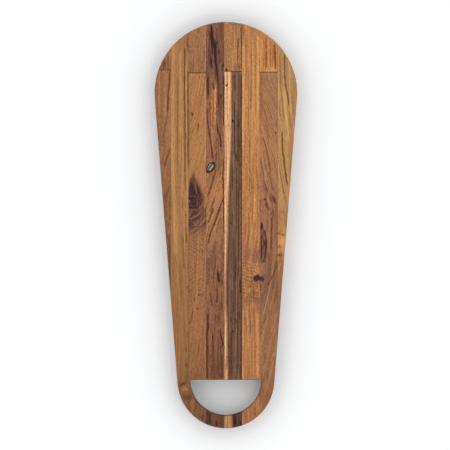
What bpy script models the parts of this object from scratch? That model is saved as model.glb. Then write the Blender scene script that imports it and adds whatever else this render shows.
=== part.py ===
"""Paddle-shaped wooden serving board, glued up from parallel staves, with a D-shaped grip opening.

Frame: metres, +Z up. The board lies flat with its underside at Z = 0. +Y points from the grip to the
round end. The origin is under the middle of the board's length and width.

The board is made the way a joiner makes it. Straight staves of one width are laid side by side, some of
them butt-jointed near the round end, and are glued into a panel. The outline and the grip opening are
then cut through the panel and rounded over. So each piece here is a stave blank trimmed to the shape of
the finished board, and the grip opening leaves three of the staves in two pieces.
"""

import math
from typing import NamedTuple

import bmesh
import bpy
from mathutils import Matrix, Vector

# Outline: two circles joined by their common tangents.
TOTAL_LENGTH = 0.570
BLADE_RADIUS = 0.100
GRIP_RADIUS = 0.068
THICKNESS = 0.022
EDGE_ROUND = 0.002

# Grip opening: a half disc about the grip circle's centre, with its flat side towards the blade.
OPENING_RADIUS = 0.050
OPENING_CORNER = 0.0015

# Staves: one width throughout, numbered from -X. The middle joint is a little left of the centreline.
STAVE_WIDTH = 0.025
STAVE_COUNT = 8
MIDDLE_JOINT_X = -0.0024
GLUE_LINE = 0.0003

# Butt joints near the round end: stave number, and the joint's distance from the tip of the board.
BUTT_JOINTS = {1: 0.0675, 3: 0.0715, 5: 0.0693, 7: 0.0704}


class KnotHole(NamedTuple):
    """An elliptical hole in a stave's top face, open at the stave's left side, filled with resin."""

    stave: int
    from_tip: float
    from_left: float
    half_length: float
    half_width: float
    lean: float  # angle of the long axis from the grain, clockwise
    depth: float


KNOT_HOLES = {
    "knot_fill_large": KnotHole(4, 0.2040, 0.0064, 0.0092, 0.0052, math.radians(36.5), 0.0060),
    "knot_fill_small": KnotHole(3, 0.2511, 0.0012, 0.0020, 0.0014, math.radians(25), 0.0030),
}

# Facets of the round shapes.
ARC_STEP = math.radians(4)
CORNER_FACETS = 3
ROUND_FACETS = 3
KNOT_SIDES = 24
SHARP_ANGLE = math.radians(35)

# What follows from the dimensions above.
TIP_Y = TOTAL_LENGTH / 2
BLADE_Y = TIP_Y - BLADE_RADIUS
GRIP_Y = -TIP_Y + GRIP_RADIUS
FIRST_JOINT_X = MIDDLE_JOINT_X - STAVE_WIDTH * STAVE_COUNT / 2
OVERSHOOT = 0.010  # how far blanks and cutters stand past the finished board

# Linear RGB colours.
GOLDEN = (0.42, 0.20, 0.08)
BROWN = (0.32, 0.15, 0.07)
REDDISH = (0.24, 0.11, 0.06)
DARK = (0.16, 0.08, 0.05)
RESIN = (0.11, 0.10, 0.08)
STAVE_COLOURS = {1: BROWN, 2: GOLDEN, 3: BROWN, 4: REDDISH, 5: DARK, 6: GOLDEN, 7: BROWN, 8: GOLDEN}
TIMBER_ROUGHNESS = 0.55
RESIN_ROUGHNESS = 0.08


def arc(centre, radius, start, end, step=ARC_STEP):
    """Points along an arc about a centre (x, y), both ends included, with one at its middle."""
    count = 2 * math.ceil(abs(end - start) / step / 2)
    angles = [start + (end - start) * i / count for i in range(count + 1)]
    return [Vector((centre[0] + radius * math.cos(a), centre[1] + radius * math.sin(a))) for a in angles]


def board_outline(inset):
    """The outer edge, anticlockwise, moved inwards by inset. The tangents touch both circles at one angle."""
    tangent = math.asin((BLADE_RADIUS - GRIP_RADIUS) / (BLADE_Y - GRIP_Y))
    blade = arc((0, BLADE_Y), BLADE_RADIUS - inset, -tangent, math.pi + tangent)
    grip = arc((0, GRIP_Y), GRIP_RADIUS - inset, math.pi + tangent, 2 * math.pi - tangent)
    return blade + grip


def opening_outline(inset):
    """The edge of the grip opening, anticlockwise, moved outwards into the wood by a negative inset."""
    corner_x = math.sqrt((OPENING_RADIUS - OPENING_CORNER) ** 2 - OPENING_CORNER**2)
    corner_y = GRIP_Y - OPENING_CORNER
    corner_radius = OPENING_CORNER - inset
    lean = math.atan2(-OPENING_CORNER, corner_x)
    corner_step = (math.pi / 2 - lean) / CORNER_FACETS
    left = arc((-corner_x, corner_y), corner_radius, math.pi / 2, math.pi - lean, corner_step)
    bow = arc((0, GRIP_Y), OPENING_RADIUS - inset, math.pi - lean, 2 * math.pi + lean)
    right = arc((corner_x, corner_y), corner_radius, lean, math.pi / 2, corner_step)
    return left + bow[1:-1] + right


def edge_levels():
    """(inset, height) pairs up an edge: a quarter round, a straight side and a quarter round."""
    angles = [i * math.pi / 2 / ROUND_FACETS for i in range(ROUND_FACETS + 1)]
    lower = [(EDGE_ROUND * (1 - math.sin(a)), EDGE_ROUND * (1 - math.cos(a))) for a in angles]
    upper = [(inset, THICKNESS - height) for inset, height in reversed(lower)]
    return lower + upper


def at_height(outline, height):
    return [Vector((point.x, point.y, height)) for point in outline]


def add_object(name, mesh):
    """Puts a finished bmesh into the scene as an object."""
    data = bpy.data.meshes.new(name)
    mesh.to_mesh(data)
    mesh.free()
    made = bpy.data.objects.new(name, data)
    bpy.context.scene.collection.objects.link(made)
    return made


def loft(name, loops):
    """A closed solid through loops of points that correspond one to one, capped at both ends."""
    mesh = bmesh.new()
    rings = [[mesh.verts.new(point) for point in loop] for loop in loops]
    count = len(rings[0])
    for lower, upper in zip(rings, rings[1:]):
        for i in range(count):
            j = (i + 1) % count
            mesh.faces.new((lower[i], lower[j], upper[j], upper[i]))
    mesh.faces.new(reversed(rings[0]))
    mesh.faces.new(rings[-1])
    return add_object(name, mesh)


def strip(name, left, right, low_y, high_y):
    """A straight blank that stands past both faces of the board, with its origin at its middle."""
    low = Vector((left, low_y, -OVERSHOOT))
    high = Vector((right, high_y, THICKNESS + OVERSHOOT))
    mesh = bmesh.new()
    bmesh.ops.create_cube(mesh, size=1)
    bmesh.ops.scale(mesh, vec=high - low, verts=mesh.verts)
    made = add_object(name, mesh)
    made.location = (low + high) / 2
    return made


def guide(made):
    """Marks a helper that only shapes other objects."""
    made.hide_render = True
    made.display_type = "WIRE"
    return made


def boolean(target, operation, other):
    modifier = target.modifiers.new(f"{operation.lower()}_{other.name}", "BOOLEAN")
    modifier.operation = operation
    modifier.object = other


def finish(made, colour, roughness):
    """Gives an object its own material, and shades its rounded edges smooth."""
    material = bpy.data.materials.new(made.name)
    material.use_nodes = True
    shader = material.node_tree.nodes["Principled BSDF"]
    shader.inputs["Base Color"].default_value = (*colour, 1)
    shader.inputs["Roughness"].default_value = roughness
    shader.inputs["Metallic"].default_value = 0
    made.data.materials.append(material)
    made.data.shade_smooth()
    made.data.set_sharp_from_angle(angle=SHARP_ANGLE)


def make_board_form():
    """The finished board's outer shape without its opening, which every blank is trimmed to."""
    return guide(loft("board_form", [at_height(board_outline(inset), z) for inset, z in edge_levels()]))


def make_opening_cutter():
    """The grip opening's cutter, which flares at both faces to round their edges."""
    levels = [(-inset, z) for inset, z in edge_levels()]
    widest = levels[0][0]
    levels = [(widest, -OVERSHOOT), *levels, (widest, THICKNESS + OVERSHOOT)]
    return guide(loft("opening_cutter", [at_height(opening_outline(inset), z) for inset, z in levels]))


def stave_sides(number):
    """The X of a stave's left and right sides, each half a glue line inside the joint."""
    left = FIRST_JOINT_X + STAVE_WIDTH * (number - 1)
    return left + GLUE_LINE / 2, left + STAVE_WIDTH - GLUE_LINE / 2


def make_piece(name, number, low_y, high_y, cutters):
    """One piece of a stave: its blank, trimmed to the board. An outer stave's blank reaches past it."""
    left, right = stave_sides(number)
    if number == 1:
        left -= OVERSHOOT
    if number == STAVE_COUNT:
        right += OVERSHOOT
    made = strip(name, left, right, low_y, high_y)
    for operation, cutter in cutters:
        boolean(made, operation, cutter)
    finish(made, STAVE_COLOURS[number], TIMBER_ROUGHNESS)
    return made


def make_stave(number, board_form, opening_cutter):
    """All pieces of one stave: a tip above its butt joint, its body, and a grip piece where it is severed.

    Returns the body.
    """
    left, right = stave_sides(number)
    meets_opening = left < OPENING_RADIUS and right > -OPENING_RADIUS
    severed = left > -OPENING_RADIUS and right < OPENING_RADIUS
    trim = [("INTERSECT", board_form)]
    trim_and_cut = trim + [("DIFFERENCE", opening_cutter)] if meets_opening else trim

    body_name = f"stave_{number}"
    body_low, body_high = -TIP_Y - OVERSHOOT, TIP_Y + OVERSHOOT
    if number in BUTT_JOINTS:
        body_name = f"stave_{number}_body"
        joint_y = TIP_Y - BUTT_JOINTS[number]
        make_piece(f"stave_{number}_tip", number, joint_y + GLUE_LINE / 2, body_high, trim)
        body_high = joint_y - GLUE_LINE / 2
    if severed:
        body_name = f"stave_{number}_body"
        make_piece(f"stave_{number}_grip", number, body_low, GRIP_Y - OVERSHOOT, trim_and_cut)
        body_low = GRIP_Y - OVERSHOOT / 2
    return make_piece(body_name, number, body_low, body_high, trim_and_cut)


def knot_outline(hole, inset):
    """The ellipse around a knot hole, moved inwards by inset."""
    left = FIRST_JOINT_X + STAVE_WIDTH * (hole.stave - 1)
    centre = Vector((left + hole.from_left, TIP_Y - hole.from_tip))
    turn = Matrix.Rotation(-hole.lean, 2)
    across, along = hole.half_width - inset, hole.half_length - inset
    angles = [2 * math.pi * i / KNOT_SIDES for i in range(KNOT_SIDES)]
    return [centre + turn @ Vector((across * math.cos(a), along * math.sin(a))) for a in angles]


def make_knot_fill(name, hole, stave):
    """Cuts a knot hole into its stave and fills it with resin, flush with the top face.

    The resin stops one glue line short of the wood, and level with the stave's own left side.
    """
    floor = THICKNESS - hole.depth
    cut = knot_outline(hole, inset=0)
    cutter = loft(name + "_cutter", [at_height(cut, floor), at_height(cut, THICKNESS + OVERSHOOT)])
    boolean(stave, "DIFFERENCE", guide(cutter))

    pour = knot_outline(hole, inset=GLUE_LINE)
    fill = loft(name, [at_height(pour, floor + GLUE_LINE), at_height(pour, THICKNESS)])
    left, right = stave_sides(hole.stave)
    boolean(fill, "INTERSECT", guide(strip(name + "_mould", left, right, -TIP_Y, TIP_Y)))
    finish(fill, RESIN, RESIN_ROUGHNESS)


def main():
    for old in list(bpy.data.objects):
        bpy.data.objects.remove(old)

    board_form = make_board_form()
    opening_cutter = make_opening_cutter()
    staves = {n: make_stave(n, board_form, opening_cutter) for n in range(1, STAVE_COUNT + 1)}
    for name, hole in KNOT_HOLES.items():
        make_knot_fill(name, hole, staves[hole.stave])


main()
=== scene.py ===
"""The looks of a paddle-shaped serving board, glued up from staves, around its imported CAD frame.

Every stave is rebuilt with fine round-overs and hairline joints, and gets a solid timber material: its
grain, streaks and knots are functions of the place in the wood, so they run through to the edges and the
underside. Places on a stave are (u, v) in millimetres: u across it from its left joint, v along it from
the tip of the board towards the grip. w is the depth below the serving face.
"""

import math
from typing import NamedTuple

import bmesh
import bpy
from mathutils import Matrix, Vector


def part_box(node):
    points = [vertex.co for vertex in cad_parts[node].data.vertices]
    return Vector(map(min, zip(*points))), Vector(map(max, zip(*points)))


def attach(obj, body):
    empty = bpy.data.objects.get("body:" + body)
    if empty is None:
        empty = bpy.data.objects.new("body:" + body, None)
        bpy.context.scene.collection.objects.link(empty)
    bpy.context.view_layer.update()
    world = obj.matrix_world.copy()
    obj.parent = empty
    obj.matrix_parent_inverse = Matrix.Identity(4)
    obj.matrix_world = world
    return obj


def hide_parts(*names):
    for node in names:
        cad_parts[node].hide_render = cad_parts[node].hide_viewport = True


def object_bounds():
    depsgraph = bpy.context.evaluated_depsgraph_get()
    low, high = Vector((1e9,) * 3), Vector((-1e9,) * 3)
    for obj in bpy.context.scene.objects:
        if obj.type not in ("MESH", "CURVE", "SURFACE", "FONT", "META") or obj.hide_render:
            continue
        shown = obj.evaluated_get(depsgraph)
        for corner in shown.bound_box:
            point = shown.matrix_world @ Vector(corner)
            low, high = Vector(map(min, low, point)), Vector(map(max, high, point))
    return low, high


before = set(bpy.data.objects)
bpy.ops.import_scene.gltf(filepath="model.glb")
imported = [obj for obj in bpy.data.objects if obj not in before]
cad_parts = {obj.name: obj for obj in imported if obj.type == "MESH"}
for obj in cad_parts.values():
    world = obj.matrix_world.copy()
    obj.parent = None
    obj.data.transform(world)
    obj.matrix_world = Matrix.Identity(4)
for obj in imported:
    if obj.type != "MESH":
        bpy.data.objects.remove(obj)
CAD_LOW, CAD_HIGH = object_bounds()

MM = 0.001

# The board, from the frame.
THICKNESS = CAD_HIGH.z
TIP_Y = CAD_HIGH.y
BLADE_RADIUS = CAD_HIGH.x
BLADE_Y = TIP_Y - BLADE_RADIUS
GRIP_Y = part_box("stave_4_body")[0].y
GRIP_RADIUS = GRIP_Y - CAD_LOW.y
GRIP_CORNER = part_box("stave_5_grip")[1]
OPENING_RADIUS = math.hypot(GRIP_CORNER.x, GRIP_Y - GRIP_CORNER.y)
TANGENT = math.asin((BLADE_RADIUS - GRIP_RADIUS) / (BLADE_Y - GRIP_Y))
LENGTH_MM = (CAD_HIGH.y - CAD_LOW.y) / MM

# Fine detail that the CAD model leaves out.
EDGE_ROUND = 2.0 * MM
OPENING_CORNER = 1.5 * MM
JOINT_GAP = 0.08 * MM
BUTT_GAP = 0.35 * MM
ARRIS = 0.06 * MM
GLUE_DEPTH = 0.35 * MM
OVERSHOOT = 10 * MM

# Facets.
ARC_STEP = math.radians(1.25)
ROUND_FACETS = 8
CORNER_FACETS = 8
KNOT_SIDES = 72
RESIN_RINGS = 14
SHARP_ANGLE = math.radians(32)


def stave_box(number):
    """The lowest and highest X of a stave's pieces."""
    boxes = [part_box(name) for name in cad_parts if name.startswith(f"stave_{number}")]
    return min(low.x for low, _ in boxes), max(high.x for _, high in boxes)


STAVES = range(1, 9)
SIDES = {number: stave_box(number) for number in STAVES}
JOINTS = [(SIDES[n][1] + SIDES[n + 1][0]) / 2 for n in STAVES[:-1]]
STAVE_WIDTH = JOINTS[1] - JOINTS[0]
BUTTS = {
    n: (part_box(f"stave_{n}_tip")[0].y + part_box(f"stave_{n}_body")[1].y) / 2
    for n in STAVES
    if f"stave_{n}_tip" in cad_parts
}


# ---------------------------------------------------------------- shapes


def arc(centre, radius, start, end, step=ARC_STEP):
    count = 2 * math.ceil(abs(end - start) / step / 2)
    angles = [start + (end - start) * i / count for i in range(count + 1)]
    return [Vector((centre[0] + radius * math.cos(a), centre[1] + radius * math.sin(a))) for a in angles]


def board_outline(inset):
    blade = arc((0, BLADE_Y), BLADE_RADIUS - inset, -TANGENT, math.pi + TANGENT)
    grip = arc((0, GRIP_Y), GRIP_RADIUS - inset, math.pi + TANGENT, 2 * math.pi - TANGENT)
    return blade + grip


def opening_outline(inset):
    corner_x = math.sqrt((OPENING_RADIUS - OPENING_CORNER) ** 2 - OPENING_CORNER**2)
    corner_y = GRIP_Y - OPENING_CORNER
    corner_radius = OPENING_CORNER - inset
    lean = math.atan2(-OPENING_CORNER, corner_x)
    step = (math.pi / 2 - lean) / CORNER_FACETS
    left = arc((-corner_x, corner_y), corner_radius, math.pi / 2, math.pi - lean, step)
    bow = arc((0, GRIP_Y), OPENING_RADIUS - inset, math.pi - lean, 2 * math.pi + lean)
    right = arc((corner_x, corner_y), corner_radius, lean, math.pi / 2, step)
    return left + bow[1:-1] + right


def edge_levels():
    """(inset, height) pairs up a rounded edge."""
    angles = [i * math.pi / 2 / ROUND_FACETS for i in range(ROUND_FACETS + 1)]
    lower = [(EDGE_ROUND * (1 - math.sin(a)), EDGE_ROUND * (1 - math.cos(a))) for a in angles]
    return lower + [(inset, THICKNESS - height) for inset, height in reversed(lower)]


def at_height(outline, height):
    return [Vector((point[0], point[1], height)) for point in outline]


def add_object(name, mesh):
    data = bpy.data.meshes.new(name)
    mesh.to_mesh(data)
    mesh.free()
    made = bpy.data.objects.new(name, data)
    bpy.context.scene.collection.objects.link(made)
    return made


def skin(mesh, loops):
    """Adds a closed skin through loops of points that correspond one to one to a bmesh."""
    rings = [[mesh.verts.new(point) for point in loop] for loop in loops]
    count = len(rings[0])
    for lower, upper in zip(rings, rings[1:]):
        for i in range(count):
            j = (i + 1) % count
            mesh.faces.new((lower[i], lower[j], upper[j], upper[i]))
    mesh.faces.new(reversed(rings[0]))
    mesh.faces.new(rings[-1])


def loft(name, loops):
    mesh = bmesh.new()
    skin(mesh, loops)
    return add_object(name, mesh)


def rectangle(left, right, low, high, height):
    return at_height([(left, low), (right, low), (right, high), (left, high)], height)


def blank(name, left, right, low, high):
    """A stave's blank, which tapers past both faces so that the cut stave gets a fine arris at its joints."""
    levels = [(-ARRIS, 2 * ARRIS), (ARRIS, 0), (THICKNESS - ARRIS, 0), (THICKNESS + ARRIS, 2 * ARRIS)]
    return loft(name, [rectangle(left + i, right - i, low + i, high - i, z) for z, i in levels])


def cut(target, operation, cutter):
    modifier = target.modifiers.new(operation, "BOOLEAN")
    modifier.operation = operation
    modifier.object = cutter


def finish_piece(made, node, material):
    """Applies a piece's modifiers, shades it smooth with its flat faces left flat, hangs it on the root body
    and hides the CAD part that it stands in for.
    """
    bpy.context.view_layer.update()
    graph = bpy.context.evaluated_depsgraph_get()
    data = bpy.data.meshes.new_from_object(made.evaluated_get(graph))
    made.modifiers.clear()
    made.data = data
    data.materials.clear()
    data.shade_smooth()
    data.set_sharp_from_angle(angle=SHARP_ANGLE)
    weighted = made.modifiers.new("even_normals", "WEIGHTED_NORMAL")
    weighted.keep_sharp = True
    weighted.weight = 100
    data.materials.append(material)
    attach(made, "root")
    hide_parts(node)


# ---------------------------------------------------------------- node graphs


class Graph:
    """Short calls that add nodes to one node tree. A value is a socket or a plain number."""

    def __init__(self, tree):
        self.tree = tree
        self.shader = tree.nodes.get("Principled BSDF")

    def put(self, socket, value):
        if isinstance(value, bpy.types.NodeSocket):
            self.tree.links.new(value, socket)
        else:
            socket.default_value = value

    def node(self, kind, *values, **settings):
        made = self.tree.nodes.new("ShaderNode" + kind)
        for name, setting in settings.items():
            setattr(made, name, setting)
        for socket, value in zip(made.inputs, values):
            self.put(socket, value)
        return made

    def use(self, group, *values):
        return self.node("Group", *values, node_tree=group).outputs[0]

    def calc(self, operation, first, *others):
        """A Math node, or for more than two values a chain of them."""
        result = self.node("Math", first, *others[:1], operation=operation).outputs[0]
        for other in others[1:]:
            result = self.node("Math", result, other, operation=operation).outputs[0]
        return result

    def add(self, *values):
        return self.calc("ADD", *values)

    def times(self, *values):
        return self.calc("MULTIPLY", *values)

    def less(self, a, b):
        return self.calc("SUBTRACT", a, b)

    def over(self, a, b):
        return self.calc("DIVIDE", a, b)

    def ramp(self, value, low, high, to_low=0.0, to_high=1.0, smooth=True):
        """Maps low..high to to_low..to_high and stays level outside. low may be above high."""
        kind = "SMOOTHSTEP" if smooth else "LINEAR"
        return self.node("MapRange", value, low, high, to_low, to_high, interpolation_type=kind).outputs[0]

    def noise(self, place, sizes, detail=2.0, roughness=0.5):
        """Smooth noise about 0, mostly within -1 and 1. sizes are its grain along the place's x, y and z."""
        return self.use(NOISE, *place, *sizes, detail, roughness)

    def curve(self, value, points, reach):
        """A smooth curve through (x, y) points with y within -reach and reach."""
        first, last = points[0][0], points[-1][0]
        share = self.ramp(value, first, last, smooth=False)
        made = self.node("FloatCurve")
        self.put(made.inputs["Value"], share)
        drawn = made.mapping.curves[0]
        places = [((x - first) / (last - first), 0.5 + y / (2 * reach)) for x, y in points]
        drawn.points[0].location = places[0]
        drawn.points[1].location = places[-1]
        for place in places[1:-1]:
            drawn.points.new(*place)
        made.mapping.update()
        return self.times(self.less(made.outputs[0], 0.5), 2 * reach)

    def path(self, v, points):
        """How far a line through (u, v) points lies to the right of the stave's middle."""
        return self.curve(v, [(along, across - MIDDLE) for across, along in points], STAVE_WIDTH / MM)

    def mix(self, under, over, amount, blend="MIX"):
        """Mixes two colours, which may be sockets, material colours or screen colours."""
        made = self.node("Mix", data_type="RGBA", blend_type=blend)
        self.put(made.inputs[0], amount)
        for socket, colour in ((made.inputs[6], under), (made.inputs[7], over)):
            self.put(socket, seen(colour) if isinstance(colour, int) else colour)
        return made.outputs[2]

    def scaled(self, colour, factor):
        made = self.node("VectorMath", operation="SCALE")
        self.put(made.inputs[0], colour)
        self.put(made.inputs[3], factor)
        return made.outputs[0]

    def zones(self, value, stops, length):
        """Colours along a length: stops are (place, colour)."""
        made = self.node("ValToRGB", self.over(value, length))
        elements = made.color_ramp.elements
        elements[0].position = stops[0][0] / length
        elements[-1].position = stops[-1][0] / length
        for place, _ in stops[1:-1]:
            elements.new(place / length)
        for element, (_, colour) in zip(elements, stops):
            element.color = seen(colour)
        return made.outputs[0]


def make_group(name, build, words):
    """A node group with a number input for each word, and one output that build makes from them."""
    inputs = words.split()
    tree = bpy.data.node_groups.new(name, "ShaderNodeTree")
    for each in inputs:
        tree.interface.new_socket(each, in_out="INPUT", socket_type="NodeSocketFloat")
    tree.interface.new_socket("result", in_out="OUTPUT", socket_type="NodeSocketFloat")
    g = Graph(tree)
    start = tree.nodes.new("NodeGroupInput")
    end = tree.nodes.new("NodeGroupOutput")
    g.put(end.inputs[0], build(g, *start.outputs[: len(inputs)]))
    return tree


def noise_group(g, x, y, z, width, length, height, detail, roughness):
    place = g.node("CombineXYZ", g.over(x, width), g.over(y, length), g.over(z, height))
    made = g.node("TexNoise")
    g.put(made.inputs["Vector"], place.outputs[0])
    made.inputs["Scale"].default_value = 1.0
    g.put(made.inputs["Detail"], detail)
    g.put(made.inputs["Roughness"], roughness)
    return g.ramp(made.outputs[0], 0.2, 0.8, -1.0, 1.0, smooth=False)


def streak_group(g, u, v, centre, start, end, half_width, soft, amount):
    """Strongest along the centre line, tapering to both ends."""
    away = g.calc("ABSOLUTE", g.less(g.less(u, MIDDLE), centre))
    fade = g.calc("MINIMUM", 7.0, g.times(g.less(end, start), 0.35))
    whole = g.times(g.ramp(v, start, g.add(start, fade)), g.ramp(v, end, g.less(end, fade)))
    edge = g.over(away, g.times(g.ramp(whole, 0.0, 1.0, 0.35, 1.0), half_width))
    return g.times(g.ramp(edge, g.add(1.0, soft), g.less(1.0, soft)), whole, amount)


def patch_group(g, u, v, centre_u, centre_v, across, along, lean, soft, amount):
    """Strongest inside an ellipse whose long side leans clockwise."""
    du, dv = g.less(u, centre_u), g.less(v, centre_v)
    sine, cosine = g.calc("SINE", lean), g.calc("COSINE", lean)
    x = g.over(g.add(g.times(du, cosine), g.times(dv, sine)), across)
    y = g.over(g.less(g.times(dv, cosine), g.times(du, sine)), along)
    away = g.calc("SQRT", g.add(g.times(x, x), g.times(y, y)))
    return g.times(g.ramp(away, g.add(1.0, soft), g.less(1.0, soft)), amount)


MIDDLE = STAVE_WIDTH / MM / 2
NOISE = make_group("noise", noise_group, "x y z width length height detail roughness")
STREAK = make_group("streak", streak_group, "u v centre start end half_width soft amount")
PATCH = make_group("patch", patch_group, "u v centre_u centre_v across along lean soft amount")


def new_material(name):
    material = bpy.data.materials.new(name)
    material.use_nodes = True
    return material, Graph(material.node_tree)


# How the studio turns timber into what the eye sees: its sheen adds a little to every colour.
SHEEN = 0.012
LIGHT_GAIN = (1.04, 1.06, 1.08)
DARKEST = 0.002


def linear(value):
    share = value / 255
    return share / 12.92 if share <= 0.04045 else ((share + 0.055) / 1.055) ** 2.4


def seen(code):
    """The material colour that looks like a screen colour, 0xRRGGBB, in this studio's light."""
    channels = (code >> 16, code >> 8 & 0xFF, code & 0xFF)
    shares = [(linear(channel) - SHEEN) / gain for channel, gain in zip(channels, LIGHT_GAIN)]
    return (*(max(DARKEST, share) for share in shares), 1.0)


# ---------------------------------------------------------------- timber


class Look(NamedTuple):
    """One piece of timber. zones are (v, colour) down its middle, and dark and light colour its grain.

    flow is the (v, u) line that its grain follows. contrast and stripe are the strength and width of its
    stripes, mottle the strength of its flecks, slant the grain's lean with depth, seam how dark a butt
    joint is.
    """

    zones: list
    dark: int
    light: int
    marks: list
    flow: list = [(0, 0), (LENGTH_MM, 0)]
    contrast: float = 0.5
    stripe: float = 4.0
    mottle: float = 1.0
    slant: float = 0.35
    seam: float = 0.44


class Wood(NamedTuple):
    """The sockets that a timber's features are drawn with."""

    u: object
    v: object
    grain: object
    rough_u: object
    rough_v: object
    seed: float


def line(half_width, colour, amount, *path, soft=0.6):
    """A streak along the grain, through the u and v of each point of its path in order of v."""
    points = list(zip(path[::2], path[1::2]))

    def mask(g, wood):
        centre = g.path(wood.rough_v, points)
        return g.use(STREAK, wood.rough_u, wood.rough_v, centre, path[1], path[-1], half_width, soft, amount)

    return mask, colour


def spot(u, v, across, along, colour, amount, lean=0, soft=0.5):
    """A round or long patch: its centre, its half sizes, how much shows and how far it leans clockwise."""

    def mask(g, wood):
        shape = (u, v, across, along, math.radians(lean))
        return g.use(PATCH, wood.rough_u, wood.rough_v, *shape, soft, amount)

    return mask, colour


FLECK_STAIN = (0.52, 0.38, 0.36, 1.0)
GRAIN_REACH = 90.0  # how far, in mm, a grain's flow may lead across the stave


def make_timber(node, number, look, extra=None):
    """A solid timber material for a piece of one stave."""
    material, g = new_material(node + "_timber")
    seed = 7.3 * number + 1.7 * len(node) + 11.9
    left = JOINTS[number - 1] - STAVE_WIDTH if number < len(STAVES) else JOINTS[-1]
    local = g.node("VectorMath", operation="MULTIPLY_ADD")
    g.put(local.inputs[0], g.node("TexCoord").outputs["Object"])
    local.inputs[1].default_value = (1 / MM, -1 / MM, -1 / MM)
    local.inputs[2].default_value = (-left / MM, TIP_Y / MM, THICKNESS / MM)
    u, v, w = g.node("SeparateXYZ", local.outputs[0]).outputs

    # The grain's own cross coordinate: it leans with depth, follows the flow and wanders a little.
    wander = g.noise((seed, v, w), (1, 70, 60), detail=1)
    deep_u = g.add(u, g.times(w, look.slant))
    grain = g.add(g.less(deep_u, g.curve(v, look.flow, GRAIN_REACH)), g.times(wander, 1.1))
    deep_seed = g.add(seed, g.times(w, 0.15))

    def figure(width, length, shift=0, **settings):
        """Noise that follows the grain."""
        place = (grain, v, g.add(deep_seed, shift) if shift else deep_seed)
        return g.noise(place, (width, length, 1), **settings)

    rough_u = g.add(deep_u, g.times(figure(1.6, 9), 0.6), g.times(figure(0.6, 3.5, 4), 0.35))
    rough_v = g.add(v, g.times(figure(1.2, 25), 2.5))
    wood = Wood(deep_u, v, grain, rough_u, rough_v, seed)

    # Colour along the stave, then broad stripes, then its own marks.
    colour = g.zones(g.add(v, g.times(figure(3.5, 60), 14.0)), look.zones, LENGTH_MM)
    stripes = figure(look.stripe, 260, detail=3, roughness=0.65)
    colour = g.mix(colour, look.dark, g.times(g.ramp(stripes, 0.05, 0.6), look.contrast))
    colour = g.mix(colour, look.light, g.times(g.ramp(stripes, -0.05, -0.6), look.contrast))
    if extra:
        colour = extra(g, wood, colour)
    broken = g.ramp(figure(0.8, 6), -0.7, 0.1, 0.85, 1.25)
    for mask, mark_colour in look.marks:
        share = g.node("Clamp", g.times(mask(g, wood), broken)).outputs[0]
        colour = g.mix(colour, mark_colour, share)

    # Fibres, flecks and pores.
    medium = figure(1.0, 40)
    fleck = figure(0.75, 3.6, 2, detail=1)
    fine = figure(0.45, 9)
    fibre_place = (grain, v, g.add(seed, w))
    fibre = g.noise(fibre_place, (0.22, 3.5, 0.4))
    pores = g.ramp(g.noise(fibre_place, (0.6, 5.5, 0.5), detail=1), 0.25, 0.6)
    dashes = g.times(g.ramp(fleck, 0.1, 0.5), g.ramp(medium, -0.5, 0.3, 0.35, 1.0))
    glints = g.ramp(fleck, -0.15, -0.55)
    texture = g.add(g.times(medium, -0.28), g.times(fine, 0.16), g.times(fibre, 0.08), 1.04)
    texture = g.add(texture, g.times(glints, 0.16 * look.mottle), g.times(pores, -0.18))
    colour = g.scaled(colour, texture)
    colour = g.mix(colour, FLECK_STAIN, g.times(dashes, min(0.9, 0.5 * look.mottle)), "MULTIPLY")

    # Oil and dust gather at the joints: a faint line along the stave's sides, a dark one at a butt joint,
    # and beyond it a narrow band that is rubbed pale.
    from_side = g.calc("MINIMUM", u, g.less(STAVE_WIDTH / MM, u))
    colour = g.scaled(colour, g.ramp(from_side, 0.1, 0.8, 0.90, 1.0))
    if number in BUTTS:
        from_seam = g.calc("ABSOLUTE", g.less(v, (TIP_Y - BUTTS[number]) / MM))
        colour = g.scaled(colour, g.ramp(from_seam, 0.3, 1.5, 1.0 - look.seam, 1.0))
        if node.endswith("_body"):
            rubbed = g.times(g.ramp(from_seam, 1.2, 2.0), g.ramp(from_seam, 4.0, 2.6))
            colour = g.scaled(colour, g.add(g.times(rubbed, 0.25 * look.seam), 1.0))

    # Painted shade: rounded edges and sides that turn away from the top are darkened as if in shade. End
    # grain drinks more oil, so it is darker too.
    normal = g.node("SeparateXYZ", g.node("NewGeometry").outputs["Normal"]).outputs
    painted_edge_shade = g.ramp(g.calc("ABSOLUTE", normal[2]), 0.97, 0.5)
    ends = g.ramp(g.calc("ABSOLUTE", normal[1]), 0.3, 1.0)
    colour = g.scaled(colour, g.less(g.less(1.0, g.times(painted_edge_shade, 0.54)), g.times(ends, 0.12)))
    g.put(g.shader.inputs["Base Color"], colour)

    g.put(g.shader.inputs["Roughness"], g.ramp(g.add(medium, fine), -1.2, 1.2, 0.62, 0.44, smooth=False))
    g.shader.inputs["Specular IOR Level"].default_value = 0.22
    bump = g.node("Bump")
    bump.inputs["Strength"].default_value = 0.35
    bump.inputs["Distance"].default_value = 0.08 * MM
    g.put(bump.inputs["Height"], g.less(g.add(g.times(fine, 0.4), g.times(fibre, 0.3)), pores))
    g.put(g.shader.inputs["Normal"], bump.outputs[0])
    return material


# ---------------------------------------------------------------- the look of each piece

INK = 0x3E282A
UMBER = 0x684636


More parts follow.
